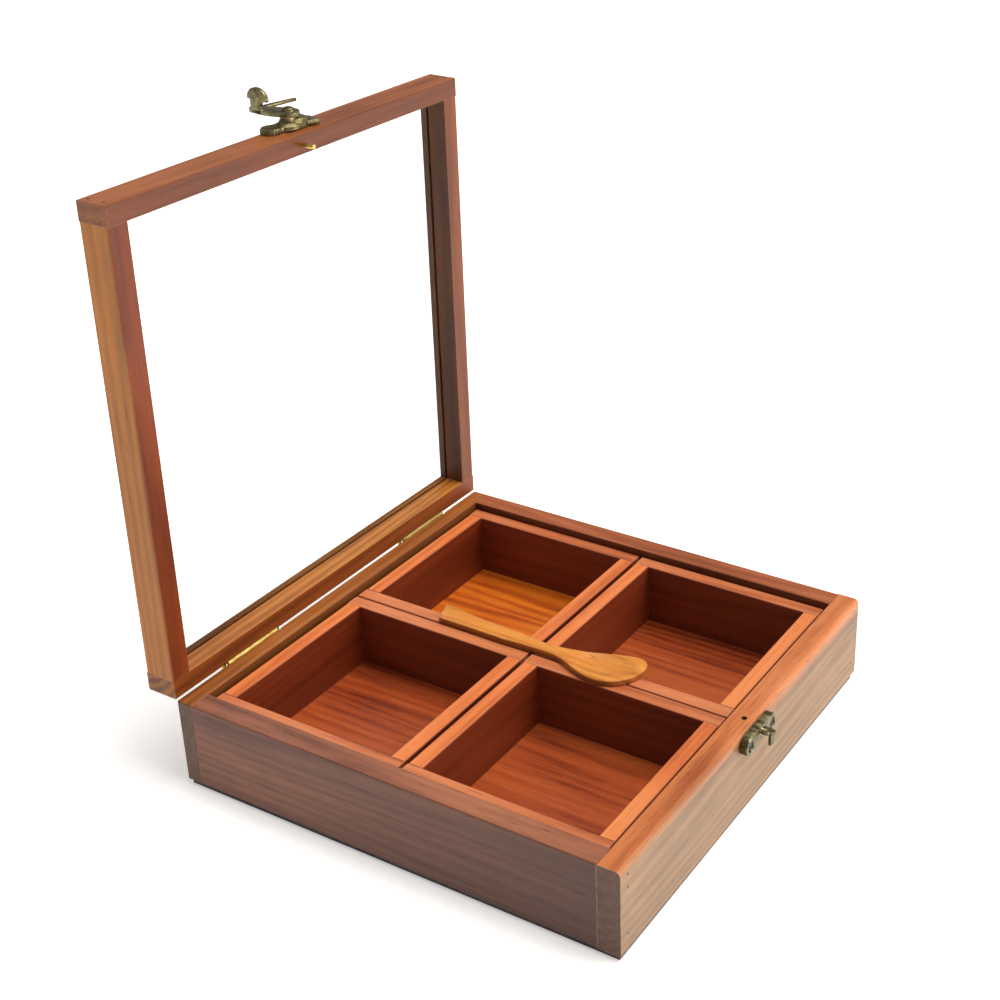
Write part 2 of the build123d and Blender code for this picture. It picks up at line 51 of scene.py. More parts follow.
# %% [markdown]
# ## The camera
#
# The viewpoint stands to the left of the box, in front of it and above. A long lens keeps the box's edges
# nearly parallel. The camera is turned by three vectors, ahead, right and up, because they follow from a
# compass angle and a height angle, which are easy to picture and to change.

# %% Camera
def make_camera(place_mm, compass, down, roll, lens, shift):
    """A camera at a place, looking compass degrees from +Y towards +X and down degrees below level."""
    compass, down, roll = (math.radians(angle) for angle in (compass, down, roll))
    ahead = Vector((math.sin(compass) * math.cos(down), math.cos(compass) * math.cos(down), -math.sin(down)))
    level_right = Vector((math.cos(compass), -math.sin(compass), 0))
    level_up = level_right.cross(ahead)
    right = math.cos(roll) * level_right + math.sin(roll) * level_up
    up = math.cos(roll) * level_up - math.sin(roll) * level_right
    data = bpy.data.cameras.new("camera")
    camera = bpy.data.objects.new("camera", data)
    bpy.context.scene.collection.objects.link(camera)
    turn = Matrix((right, up, -ahead)).transposed().to_4x4()
    camera.matrix_world = Matrix.Translation(Vector(place_mm) * MM) @ turn
    data.sensor_width = 36
    data.lens = lens
    data.shift_x, data.shift_y = shift
    return camera


camera_place = (-545.1, -373.9, 478.3)
bpy.context.scene.camera = make_camera(camera_place, compass=59.886, down=25.951, roll=-0.202, lens=60.07,
                                       shift=(-0.140, -0.0676))
print("the camera stands at", camera_place, "mm")

# %% [markdown]
# ## Floor and light
#
# The box stands on a pale sheet in a white room. The room fills the shadows a little. Most of the light
# comes from high above, as from a skylight, so the rims and the tray floors are bright and the tray walls
# stay dark. A wide sun does this better than a lamp, because it falls equally on every tray. A low panel in
# front, to the right, lights the front face and leaves the left side in shade. That contrast shows the box's
# form. The room looks brighter to the eye and through the glass than the
# light that it gives, so that the sheet and the room meet without a line.

# %% Floor, world and panels
def srgb(hex_colour, alpha=1.0):
    """A colour given as six hex digits, turned linear as the renderer needs it."""
    parts = [int(hex_colour[i:i + 2], 16) / 255 for i in (0, 2, 4)]
    linear = [c / 12.92 if c <= 0.04045 else ((c + 0.055) / 1.055) ** 2.4 for c in parts]
    return (*linear, alpha)


def add(tree, kind, inputs=None, **settings):
    """Adds a node. An input takes a plain value, or another node's output to be linked."""
    made = tree.nodes.new(kind)
    for name, value in settings.items():
        setattr(made, name, value)
    for key, value in (inputs or {}).items():
        if isinstance(value, bpy.types.NodeSocket):
            tree.links.new(value, made.inputs[key])
        else:
            made.inputs[key].default_value = value
    return made


def new_material(name):
    """A material with an empty node tree and its output."""
    material = bpy.data.materials.new(name)
    material.use_nodes = True
    tree = material.node_tree
    tree.nodes.clear()
    return material, tree, add(tree, "ShaderNodeOutputMaterial")


def panel(name, place, aim, size, power, colour):
    """A square light panel that faces a point."""
    data = bpy.data.lights.new(name, "AREA")
    data.shape = "SQUARE"
    data.size = size
    data.energy = power
    data.color = srgb(colour)[:3]
    lamp = bpy.data.objects.new(name, data)
    bpy.context.scene.collection.objects.link(lamp)
    lamp.location = place
    lamp.rotation_euler = (Vector(aim) - Vector(place)).to_track_quat("-Z", "Y").to_euler()
    return lamp


bpy.context.scene.view_settings.view_transform = "Standard"
room_as_light = 0.38
room_to_the_eye = 1.0
sheet_glow = 0.35
world = bpy.data.worlds.new("white_room")
world.use_nodes = True
room = world.node_tree
room_light = room.nodes["Background"]
room_light.inputs["Color"].default_value = srgb("FFFFFF")
path = add(room, "ShaderNodeLightPath")
seen = add(room, "ShaderNodeMath", {0: path.outputs["Is Camera Ray"],
                                    1: path.outputs["Is Transmission Ray"]}, operation="MAXIMUM")
strength = add(room, "ShaderNodeMapRange", {"Value": seen.outputs[0], "To Min": room_as_light,
                                            "To Max": room_to_the_eye})
room.links.new(strength.outputs["Result"], room_light.inputs["Strength"])
bpy.context.scene.world = world

bpy.ops.object.select_all(action="DESELECT")
bpy.ops.mesh.primitive_plane_add(size=6, location=(0, 0, 0))
floor = bpy.context.object
floor.name = "floor"
floor_material, floor_tree, floor_out = new_material("white_sheet")
floor_shader = add(floor_tree, "ShaderNodeBsdfPrincipled", {
    "Base Color": srgb("FFFFFF"), "Roughness": 0.9, "Emission Color": srgb("FFFFFF"),
    "Emission Strength": sheet_glow})
floor_tree.links.new(floor_shader.outputs["BSDF"], floor_out.inputs["Surface"])
floor.data.materials.append(floor_material)

sun_data = bpy.data.lights.new("high_window", "SUN")
sun_data.energy = 2.9
sun_data.angle = math.radians(38)
sun_data.color = srgb("FFF8F0")[:3]
sun = bpy.data.objects.new("high_window", sun_data)
bpy.context.scene.collection.objects.link(sun)
sunlight_travels = Vector((-0.22, 0.30, -1.0))
sun.rotation_euler = sunlight_travels.to_track_quat("-Z", "Y").to_euler()
panel("front_panel", place=(0.55, -1.5, 0.35), aim=(0, -0.1, 0.03), size=0.7, power=11, colour="FFF4E6")

# %% [markdown]
# ## Oiled hardwood
#
# The boards look like sheesham, a reddish hardwood, planed and oiled. Oil leaves a soft sheen and deepens
# the red. The grain is long and fine, with darker growth lines, short dark pores and edges rubbed paler. The
# pattern is worked out in millimetres from the board's own coordinates, and is stretched along the board, so
# that the grain follows each piece. Every board gets its own offset, as if it had been sawn from another
# part of the tree.

# %% Wood
def stretched(tree, along, stretch, offset):
    """Coordinates in millimetres, squeezed along one axis so that a pattern is drawn out along it."""
    place = add(tree, "ShaderNodeTexCoord").outputs["Object"]
    scale = [1 / MM] * 3
    scale["XYZ".index(along)] = 1 / MM / stretch
    slight_skew = (0.012, 0.018, 0.015)
    mapping = add(tree, "ShaderNodeMapping", {"Vector": place, "Location": offset, "Scale": scale,
                                              "Rotation": slight_skew})
    return mapping.outputs["Vector"]


def noise(tree, vector, size_mm, detail, roughness=0.55, distortion=0.0):
    """Noise with patches of about size_mm."""
    made = add(tree, "ShaderNodeTexNoise", {"Vector": vector, "Scale": 1.0 / size_mm, "Detail": detail,
                                            "Roughness": roughness, "Distortion": distortion})
    return made.outputs["Fac"]


def ramp(tree, value, stops):
    """A colour ramp from (place, colour) stops."""
    made = add(tree, "ShaderNodeValToRGB", {"Fac": value})
    elements = made.color_ramp.elements
    while len(elements) < len(stops):
        elements.new(0.5)
    for element, (place, colour) in zip(elements, stops):
        element.position = place
        element.color = colour
    return made.outputs["Color"]


def scaled(colour, factor):
    """A linear colour made darker or lighter."""
    return (*(min(factor * channel, 1) for channel in colour[:3]), 1)


def grey(value):
    """The same value on three channels."""
    return (value, value, value, 1)


def blend(tree, share, first, second, how="MIX"):
    """Mixes two colours by a share."""
    made = add(tree, "ShaderNodeMix", data_type="RGBA", blend_type=how)
    for index, value in ((0, share), (6, first), (7, second)):
        if isinstance(value, bpy.types.NodeSocket):
            tree.links.new(value, made.inputs[index])
        else:
            made.inputs[index].default_value = value
    return made.outputs[2]


def maths(tree, operation, first, second=0.0):
    """One step of arithmetic."""
    return add(tree, "ShaderNodeMath", {0: first, 1: second}, operation=operation).outputs[0]


def weighed_sum(tree, parts):
    """Adds up (pattern, weight) pairs."""
    total = None
    for pattern, weight in parts:
        product = maths(tree, "MULTIPLY", pattern, weight)
        total = product if total is None else maths(tree, "ADD", total, product)
    return total


def edge_share(tree, radius_mm, sharp):
    """Close to 1 on worn edges and 0 on flat faces, from how much a rounded normal leans away."""
    rounded = add(tree, "ShaderNodeBevel", {"Radius": radius_mm * MM}, samples=4).outputs["Normal"]
    true = add(tree, "ShaderNodeNewGeometry").outputs["Normal"]
    same = add(tree, "ShaderNodeVectorMath", {0: rounded, 1: true}, operation="DOT_PRODUCT").outputs["Value"]
    lean = maths(tree, "SUBTRACT", 1.0, same)
    return add(tree, "ShaderNodeMath", {0: lean, 1: sharp}, operation="MULTIPLY", use_clamp=True).outputs[0]


def facing(tree, axis, sign):
    """1 where the surface faces one way along an axis, or both ways for a sign of 0."""
    normal = add(tree, "ShaderNodeTexCoord").outputs["Normal"]
    part = add(tree, "ShaderNodeSeparateXYZ", {"Vector": normal}).outputs["XYZ".index(axis)]
    if sign == 0:
        return maths(tree, "ABSOLUTE", part)
    towards = add(tree, "ShaderNodeMath", {0: part, 1: float(sign)}, operation="MULTIPLY", use_clamp=True)
    return towards.outputs[0]


def short_of(tree, axis, low_mm, high_mm, sway):
    """1 before one place on an axis and 0 past another, along a border that wanders with the grain."""
    place = add(tree, "ShaderNodeTexCoord").outputs["Object"]
    part = add(tree, "ShaderNodeSeparateXYZ", {"Vector": place}).outputs["XYZ".index(axis)]
    wander_mm = 46.0
    middled = maths(tree, "SUBTRACT", sway, 0.5)
    distance = weighed_sum(tree, [(part, 1 / MM), (middled, wander_mm)])
    made = add(tree, "ShaderNodeMapRange", {"Value": distance, "From Min": low_mm, "From Max": high_mm,
                                            "To Min": 1.0, "To Max": 0.0})
    return made.outputs["Result"]


def oiled_wood(name, along, dark, middle, light, worn, number, tints=(), fade=None, figure=0.10, ring_mm=6.0,
               rough=0.44, pore=0.4, edge_mm=0.8):
    """Hardwood. tints are (axis, sign, colour, share) for the faces that look one way, and they are mostly
    painted light and shade.

    fade limits the first tint to one end of an axis. Sizes in the noises are in millimetres.
    """
    material, tree, out = new_material(name)
    offset = (37.0 * number % 211, 53.0 * number % 173, 71.0 * number % 157)
    place = stretched(tree, along, 12.0, offset)
    drift = noise(tree, place, 24, 2, 0.5)
    cloud = noise(tree, stretched(tree, along, 2.5, offset), 34, 3, 0.5)
    streaks = noise(tree, stretched(tree, along, 30.0, offset), 3.2, 5, 0.62)
    fine = noise(tree, stretched(tree, along, 22.0, offset), 0.8, 3, 0.6)

    # Growth rings, bent by a slow sway so that no line is straight
    sway_mm = 30.0
    sway = add(tree, "ShaderNodeTexNoise", {"Vector": place, "Scale": 1 / sway_mm, "Detail": 2.0})
    push = add(tree, "ShaderNodeVectorMath", {0: sway.outputs["Color"], "Scale": sway_mm}, operation="SCALE")
    bent = add(tree, "ShaderNodeVectorMath", {0: place, 1: push.outputs["Vector"]}, operation="ADD")
    one_ring = 0.314
    rings = add(tree, "ShaderNodeTexWave", {"Vector": bent.outputs["Vector"], "Scale": one_ring / ring_mm,
                                            "Distortion": 3.0, "Detail": 3.0, "Detail Scale": 0.5,
                                            "Detail Roughness": 0.65},
                wave_type="RINGS", rings_direction=along, wave_profile="SIN")
    share = weighed_sum(tree, [(rings.outputs["Fac"], figure), (drift, 0.30), (cloud, 0.35),
                               (streaks, 0.32 - figure * 0.4), (maths(tree, "SUBTRACT", fine, 0.5), 0.22)])
    colour = ramp(tree, share, [(0.36, srgb(dark)), (0.49, srgb(middle)), (0.66, srgb(light))])

    # Faces that look one way get a tint with the same grain, mostly painted light and shade: darker insides,
    # sides and undersides, and a paler front that is partly painted light
    for order, (axis, sign, tint, strength) in enumerate(tints):
        cover = maths(tree, "MULTIPLY", facing(tree, axis, sign), strength)
        if fade and order == 0:
            cover = maths(tree, "MULTIPLY", cover, short_of(tree, *fade, drift))
        tone = ramp(tree, share, [(0.34, scaled(srgb(tint), 0.62)), (0.50, srgb(tint)),
                                  (0.68, scaled(srgb(tint), 1.35))])
        colour = blend(tree, cover, colour, tone)

    # End grain is speckled and darker, pores are dark, and edges are rubbed paler
    ends = maths(tree, "POWER", facing(tree, along, 0), 4.0)
    speck = noise(tree, stretched(tree, along, 1.0, offset), 0.6, 3)
    end_tone = ramp(tree, speck, [(0.35, grey(0.5)), (0.7, grey(0.95))])
    colour = blend(tree, ends, colour, end_tone, "MULTIPLY")
    pore_pattern = noise(tree, stretched(tree, along, 30.0, offset), 0.5, 2)
    pore_share = ramp(tree, pore_pattern, [(0.60, grey(0)), (0.72, grey(1))])
    colour = blend(tree, maths(tree, "MULTIPLY", pore_share, pore), colour, srgb(dark), "MULTIPLY")
    edge = edge_share(tree, edge_mm, 2.2)
    rubbed = ramp(tree, noise(tree, place, 5, 3), [(0.35, grey(0.1)), (0.62, grey(0.7))])
    colour = blend(tree, maths(tree, "MULTIPLY", edge, rubbed), colour, srgb(worn))

    fibres = maths(tree, "MULTIPLY", fine, 0.5)
    height = maths(tree, "SUBTRACT", fibres, maths(tree, "MULTIPLY", pore_share, 0.5))
    bump = add(tree, "ShaderNodeBump", {"Height": height, "Strength": 0.3, "Distance": 0.1 * MM})
    gloss = maths(tree, "ADD", maths(tree, "MULTIPLY", drift, 0.2), rough - 0.1)
    shader = add(tree, "ShaderNodeBsdfPrincipled", {
        "Base Color": colour, "Roughness": gloss, "Specular IOR Level": 0.35, "Normal": bump.outputs["Normal"]
    })
    tree.links.new(shader.outputs["BSDF"], out.inputs["Surface"])
    return material


def finish(name, material):
    """Gives a CAD node its material."""
    mesh = nodes[name].data
    mesh.materials.clear()
    mesh.materials.append(material)
    print(name, "is finished in", material.name)


# %% [markdown]
# ## The boards of the case
#
# The rims were handled and oiled most, so they are a warm orange. The other faces get tints by the way they
# face, and these are mostly painted light and shade. The front's pale tan below the rim is partly a drier
# finish and partly painted light from the front lamp. The grey brown of the outer sides is painted shade,
# darkest on the left side towards the front. The darker inner faces are painted shade too. One board is one
# block of wood, so its faces share one grain, and only their tints differ.

# %% Case boards
finish("case_front_wall", oiled_wood(
    "front_wall_wood", "X", "964E24", "C0703E", "D0885C", "E4AC88", 3, fade=("Z", 34, 45), pore=0.6,
    tints=(("Y", -1, "8A6E50", 0.95), ("Y", 1, "5A2810", 0.8), ("X", 0, "6A4634", 1.0))))
finish("case_back_wall", oiled_wood(
    "back_wall_wood", "X", "5A3010", "8E5020", "A86830", "C08C60", 5,
    tints=(("Y", 1, "6E4A34", 0.9), ("Y", -1, "5C340E", 0.7), ("X", 0, "6A4834", 1.0))))
# The left side's grey brown is painted shade, laid on most thickly at the front end.
finish("case_left_wall", oiled_wood(
    "left_wall_wood", "Y", "643828", "86503A", "A06648", "BA8866", 8, fade=("Y", -110, 260), pore=0.6,
    tints=(("X", -1, "4C2E22", 1.0), ("X", 1, "4A200C", 0.8))))
finish("case_right_wall", oiled_wood(
    "right_wall_wood", "Y", "642E14", "8E4824", "A65E38", "CC9070", 11,
    tints=(("X", 1, "664632", 0.9), ("X", -1, "451C08", 0.8))))
# The base board's near-black grey is partly painted shadow, the dark line that runs along the foot of the
# walls.
finish("case_base_panel", oiled_wood(
    "base_board_wood", "X", "2E2626", "4A3E3E", "5E5252", "706464", 2, rough=0.7))

# %% [markdown]
# ## The lid frame
#
# The lid stands open here, so the side rails' grain runs upwards. The left rail is golden on its outer face.
# Each rail has its own wood, because the real ones came from different boards.

# %% Lid rails
# Each rail's underside faces forward while the lid stands open and gets its own tint. On the front and back
# rails it is darker, partly the wood's tone and partly painted shade for the weaker light up there.
finish("lid_front_rail", oiled_wood(
    "lid_front_wood", "X", "5E2A10", "8E4E24", "A8663A", "BC8058", 14, tints=(("Y", -1, "623018", 0.9),)))
finish("lid_back_rail", oiled_wood(
    "lid_back_wood", "X", "5C2C06", "94500C", "B8742A", "CC9C60", 17, figure=0.16,
    tints=(("Y", -1, "6A2C0A", 0.8),)))
finish("lid_left_rail", oiled_wood(
    "lid_left_wood", "Z", "441A0A", "642A0E", "7E3E1C", "A87048", 20, figure=0.14,
    tints=(("X", -1, "A4641E", 0.88), ("Y", -1, "7A3410", 0.7))))
finish("lid_right_rail", oiled_wood(
    "lid_right_wood", "Z", "40200E", "6A3A18", "885024", "AA7848", 23, figure=0.14,
    tints=(("X", -1, "542C10", 0.7), ("Y", -1, "7A3A16", 0.7))))

# %% [markdown]
# ## The trays
#
# The trays are the reddest wood in the box. Their floors run from front to back. The floor of the back
# right tray was cut from paler wood with bold dark streaks. A loop gives all 20 boards their wood, and the
# number that it counts up gives each its own grain.

# %% Tray boards
def tray_board(name, board, number, pale_floor):
    """The wood of one tray board: rims stay bright, and the faces of the walls get a dark tint, which is
    painted shade.
    """
    if board == "floor":
        palette = ("6A2208", "9A421A", "B05424", "C87848")
        if pale_floor:
            palette = ("8A3404", "C25C10", "D87C20", "E09A50")
        return oiled_wood(name, "Y", *palette, number, figure=0.12 if pale_floor else 0.08)
    if board in ("left_wall", "right_wall"):
        return oiled_wood(name, "Y", "904826", "BC6A40", "CE8052", "E8A884", number,
                          tints=(("X", 0, "702C18", 0.95),))
    return oiled_wood(name, "X", "AC5222", "D07038", "E28A50", "F0AE88", number,
                      tints=(("Y", 0, "6E280E", 0.95),))


tray_number = 30
for row in ("front", "back"):
    for column in ("left", "right"):
        for board in ("left_wall", "right_wall", "front_wall", "back_wall", "floor"):
            tray_number += 7
            name = f"tray_{row}_{column}_{board}"
            pale = (row, column) == ("back", "right")
            finish(name, tray_board(f"{name}_wood", board, tray_number, pale))

# %% [markdown]
# ## Metal and glass
#
# The hinges and the pin are pressed and polished brass, so they are bright. The latch and its catch are cast
# bronze that was darkened and then rubbed back, so it is dark in patches and pale along the edges. The nails
# are dull drawn steel. The pane is clear picture glass, so it shows only in its reflections. A noise sets a
# metal's tone, and a rounded normal finds its edges. Painted patches would need an image.

# %% Metals and glass
def rubbed_metal(name, dark, middle, bright, rough, number, patch_mm=2.5, edge_mm=0.35):
    """Metal whose tone drifts in patches and is rubbed bright on its edges."""
    material, tree, out = new_material(name)
    offset = (11.0 * number, 17.0 * number, 5.0 * number)
    place = stretched(tree, "X", 1.0, offset)
    patches = noise(tree, place, patch_mm, 4, 0.6)
    colour = ramp(tree, patches, [(0.3, srgb(dark)), (0.66, srgb(middle))])
    edge = edge_share(tree, edge_mm, 2.5)
    colour = blend(tree, edge, colour, srgb(bright))
    uneven = maths(tree, "ADD", maths(tree, "MULTIPLY", patches, 0.2), rough)
    gloss = maths(tree, "SUBTRACT", uneven, maths(tree, "MULTIPLY", edge, 0.1))
    bump = add(tree, "ShaderNodeBump", {"Height": noise(tree, place, 0.5, 3), "Strength": 0.25,
                                        "Distance": 0.08 * MM})
    shader = add(tree, "ShaderNodeBsdfPrincipled", {"Base Color": colour, "Roughness": gloss, "Metallic": 1.0,
                                                    "Normal": bump.outputs["Normal"]})
    tree.links.new(shader.outputs["BSDF"], out.inputs["Surface"])
    return material


def clear_glass():
    """Thin clear picture glass."""
    material, tree, out = new_material("clear_pane_glass")
    shader = add(tree, "ShaderNodeBsdfPrincipled", {
        "Base Color": srgb("FBFFFD"), "Roughness": 0.02, "IOR": 1.45, "Transmission Weight": 1.0})
    tree.links.new(shader.outputs["BSDF"], out.inputs["Surface"])
    return material


brass = rubbed_metal("polished_brass", "C8A850", "EBD584", "FFF3BE", 0.22, 3)
bronze = rubbed_metal("antique_bronze", "3A3626", "887E58", "F0E8C0", 0.28, 5, 3.5, 0.45)
steel = rubbed_metal("nail_steel", "3A3430", "5E554C", "8C8070", 0.45, 9)
dark_steel = rubbed_metal("dark_screw_steel", "181412", "3A3234", "706870", 0.35, 13, 1.5)
finish("lid_glass_pane", clear_glass())
for name in nodes:
    if name.startswith("hinge") or name == "lid_locating_pin":
        finish(name, brass)
    elif name in ("case_corner_brads", "case_base_nails", "lid_corner_brads"):
        finish(name, steel)
    elif name in ("latch_screws", "catch_screws"):
        finish(name, dark_steel)
    elif name.startswith(("latch", "catch")):
        finish(name, bronze)

# %% [markdown]
# ## Tools for modelling
#
# The spoon, the latch and the catch need rounder shapes than the joiner's solids, so they are modelled here.
# Each is drawn flat in millimetres in its own frame, given its thickness, cut and softened. Then it is put
# in place, and the placing goes into its mesh.

# %% Modelling functions
def smooth_line(points, steps):
    """The points with more between them, on a smooth closed line through them all."""
    made = []
    for index, start in enumerate(points):
        before = points[index - 1]
        end, after = points[(index + 1) % len(points)], points[(index + 2) % len(points)]
        for step in range(steps):
            t = step / steps
            made.append(tuple(0.5 * (2 * b + (c - a) * t + (2 * a - 5 * b + 4 * c - d) * t ** 2
                                     + (3 * b - a - 3 * c + d) * t ** 3)
                              for a, b, c, d in zip(before, start, end, after)))
    return made


def drawn_plate(name, corners, low, high):
    """Draws an outline corner by corner, fills it, and extrudes it from low to high."""
    bpy.ops.object.select_all(action="DESELECT")
    bpy.ops.mesh.primitive_plane_add(size=1, location=(*corners[0], low))
    piece = bpy.context.object
    piece.name = name
    bpy.ops.object.transform_apply(location=True, rotation=True, scale=True)
    bpy.ops.object.mode_set(mode="EDIT")
    bpy.ops.mesh.merge(type="CENTER")
    for start, end in zip(corners, corners[1:]):
        step = (end[0] - start[0], end[1] - start[1], 0)
        bpy.ops.mesh.extrude_region_move(TRANSFORM_OT_translate={"value": step})
    bpy.ops.mesh.select_all(action="SELECT")
    bpy.ops.mesh.edge_face_add()
    bpy.ops.mesh.extrude_region_move(TRANSFORM_OT_translate={"value": (0, 0, high - low)})
    bpy.ops.mesh.select_all(action="SELECT")
    bpy.ops.mesh.normals_make_consistent(inside=False)
    bpy.ops.object.mode_set(mode="OBJECT")
    return piece


def turned(name, profile, centre, steps=32):
    """Spins a (radius, height) profile into a solid about an upright axis through a point."""
    bpy.ops.object.select_all(action="DESELECT")
    bpy.ops.mesh.primitive_plane_add(size=1, location=(centre[0] + profile[0][0], centre[1], profile[0][1]))
    piece = bpy.context.object
    piece.name = name
    bpy.ops.object.transform_apply(location=True, rotation=True, scale=True)
    bpy.ops.object.mode_set(mode="EDIT")
    bpy.ops.mesh.merge(type="CENTER")
    for start, end in zip(profile, profile[1:]):
        step = (end[0] - start[0], 0, end[1] - start[1])
        bpy.ops.mesh.extrude_region_move(TRANSFORM_OT_translate={"value": step})
    bpy.ops.mesh.select_all(action="SELECT")
    bpy.ops.mesh.spin(steps=steps, angle=2 * math.pi, center=(*centre, 0), axis=(0, 0, 1))
    bpy.ops.mesh.select_all(action="SELECT")
    bpy.ops.mesh.remove_doubles(threshold=0.001)
    bpy.ops.mesh.normals_make_consistent(inside=False)
    bpy.ops.object.mode_set(mode="OBJECT")
    return piece


def with_modifier(piece, kind, **settings):
    """Adds a modifier with its settings and applies it."""
    bpy.ops.object.select_all(action="DESELECT")
    piece.select_set(True)
    bpy.context.view_layer.objects.active = piece
    modifier = piece.modifiers.new(kind.lower(), kind)
    for setting, value in settings.items():
        setattr(modifier, setting, value)
    bpy.ops.object.modifier_apply(modifier=modifier.name)
    return piece


def soft_edges(piece, width, segments=2, angle=35):
    """Rounds every edge that is sharper than an angle."""
    return with_modifier(piece, "BEVEL", width=width, segments=segments, limit_method="ANGLE",
                         angle_limit=math.radians(angle), harden_normals=False)


def cut_away(piece, *cutters):
    """Takes the cutters' shapes out of a piece and removes the cutters."""
    for cutter in cutters:
        with_modifier(piece, "BOOLEAN", operation="DIFFERENCE", solver="EXACT", object=cutter)
        bpy.data.objects.remove(cutter)
    return piece


def joined(piece, *others):
    """Makes one object of several."""
    bpy.ops.object.select_all(action="DESELECT")
    for other in (piece, *others):
        other.select_set(True)
    bpy.context.view_layer.objects.active = piece
    bpy.ops.object.join()
    return piece


def placed(piece, place):
    """Puts a piece where a matrix says, with the place in its mesh and smooth shading up to a corner."""
    bpy.ops.object.select_all(action="DESELECT")
    piece.select_set(True)
    bpy.context.view_layer.objects.active = piece
    piece.matrix_world = place @ piece.matrix_world
    bpy.ops.object.transform_apply(location=True, rotation=True, scale=True)
    bpy.ops.object.shade_smooth_by_angle(angle=math.radians(40))
    return piece


def settled(piece, material, body, node):
    """Gives a finished piece its material and its body, and hides the CAD node that it stands for."""
    piece.data.materials.clear()
    piece.data.materials.append(material)
    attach(piece, body)
    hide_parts(node)
    sides = [round(side / MM, 1) for side in piece.dimensions]
    print(piece.name, len(piece.data.polygons), "faces,", sides, "mm")


# %% [markdown]
# ## The spoon
#
# The spoon is sawn from one flat strip. The handle is a plain bar that narrows towards the bowl. The bowl
# is lopsided: its right edge is nearly straight, its left edge bulges, and the tip is round. A shallow dish
# is cut in it, which leaves a rim round the edge. It lies on the tops of the tray walls, 42 mm up. It could
# be sculpted, but a drawn outline keeps the flat faces flat, and a stretched ball cuts a true dish.

# %% Spoon
spoon_low = 42.05
spoon_high = 45.2
handle = [(-0.2, 37.0), (-0.2, 54.0), (0.3, 55.2), (11.2, 58.9), (12.2, 58.2), (12.0, 56.0), (9.3, 36.3)]
bowl_right = [(8.3, 17.8), (7.3, 5.0), (6.9, -3.0), (7.4, -9.7), (8.7, -16.7), (10.3, -23.6), (12.6, -30.0),
              (15.1, -36.5), (17.0, -42.5), (17.6, -47.0), (17.0, -50.3)]
bowl_tip = [(15.0, -52.6), (11.7, -53.7), (7.3, -53.6), (2.5, -52.2), (-2.1, -49.2)]
bowl_left = [(-5.6, -45.0), (-7.5, -40.3), (-7.9, -35.3), (-7.1, -30.2), (-5.2, -25.0), (-2.9, -19.9),
             (-1.0, -15.4), (0.2, -10.6), (0.5, -5.6), (0.4, 1.2), (0.1, 9.1), (-0.1, 20.7)]
dish_radii = (13.0, 23.0, 8.0)
dish_centre = (4.9, -35.6, spoon_high + 5.9)
dish_turn = math.radians(12)
between = 3
spoon_line = handle + smooth_line(bowl_right + bowl_tip + bowl_left, between)[:-between]
spoon = drawn_plate("wooden_spoon", spoon_line, spoon_low, spoon_high)
soft_edges(spoon, 0.7, 3, 50)
bpy.ops.object.select_all(action="DESELECT")
bpy.ops.mesh.primitive_uv_sphere_add(segments=64, ring_count=32, radius=1, location=(0, 0, 0))
dish = bpy.context.object
bpy.ops.object.mode_set(mode="EDIT")
bpy.ops.mesh.select_all(action="SELECT")
bpy.ops.transform.resize(value=dish_radii)
bpy.ops.object.mode_set(mode="OBJECT")
dish.matrix_world = Matrix.Translation(dish_centre) @ Matrix.Rotation(dish_turn, 4, "Z")
cut_away(spoon, dish)
placed(spoon, Matrix.Scale(MM, 4))
spoon_wood = oiled_wood("spoon_wood", "Y", "A05814", "CA7E2E", "DC9442", "EEC084", 71, figure=0.12,
                        ring_mm=5.0, tints=(("X", 0, "7A3C14", 0.7),), pore=0.6, rough=0.4)
settled(spoon, spoon_wood, "spoon", "spoon")

# %% [markdown]
# ## The latch
#
# The latch is cast bronze. It is modelled in its own frame: x to the box's right, y up the front face when
# the lid is shut, and z outwards from that face, with its origin at the pivot or at the base's middle. The
# plate has a round fluted lobe at its left end, a raised shoulder at its right, and a bell under the lever's
# eye. Outlines and turned shapes suit it better than sculpting, because its faces are flat or round.

# %% Latch
front_face_y = -115
hinge_line = Vector((0, 115.4, 45.6))
opening_turn = math.radians(-89.5)
pivot = (3.0, 54.9)
base_centre = (3.6, 55.7)
base_tilt = -11.0
lever_tilt = -8.0
lobe_x = 9.9


def on_front(x, z, tilt=0.0, lifted=False):
    """Where a fitting that is modelled in millimetres goes: on the front face, or swung up with the lid."""
    face = Matrix(((1, 0, 0, x), (0, 0, -1, front_face_y), (0, 1, 0, z), (0, 0, 0, 1)))
    place = face @ Matrix.Rotation(math.radians(tilt), 4, "Z")
    if lifted:
        swing = Matrix.Rotation(opening_turn, 4, "X")
        place = Matrix.Translation(hinge_line) @ swing @ Matrix.Translation(-hinge_line) @ place
    return Matrix.Scale(MM, 4) @ place


def lobe(centre_x, radius, start, end, count=10):
    """Corners along part of a circle, from one angle to another in degrees."""
    angles = [math.radians(start + (end - start) * step / count) for step in range(count + 1)]
    return [(centre_x + radius * math.cos(angle), radius * math.sin(angle)) for angle in angles]


def both_sides(upper):
    """An outline from its upper half, from left to right, with the same below the x axis."""
    return [(x, -y) for x, y in upper] + upper[::-1]


def flutes(name, places, low, high, radius):
    """Small upright ridges on the edge of a plate, copies of one."""
    profile = [(0, low), (radius, low), (radius, high - radius * 0.6), (radius * 0.5, high), (0, high)]
    ridge = turned(name, profile, (0, 0), 8)
    copies = []
    for x, y in places:
        copy = ridge.copy()
        copy.data = ridge.data.copy()
        bpy.context.scene.collection.objects.link(copy)
        copy.location = (x, y, 0)
        copies.append(copy)
    bpy.data.objects.remove(ridge)
    return copies


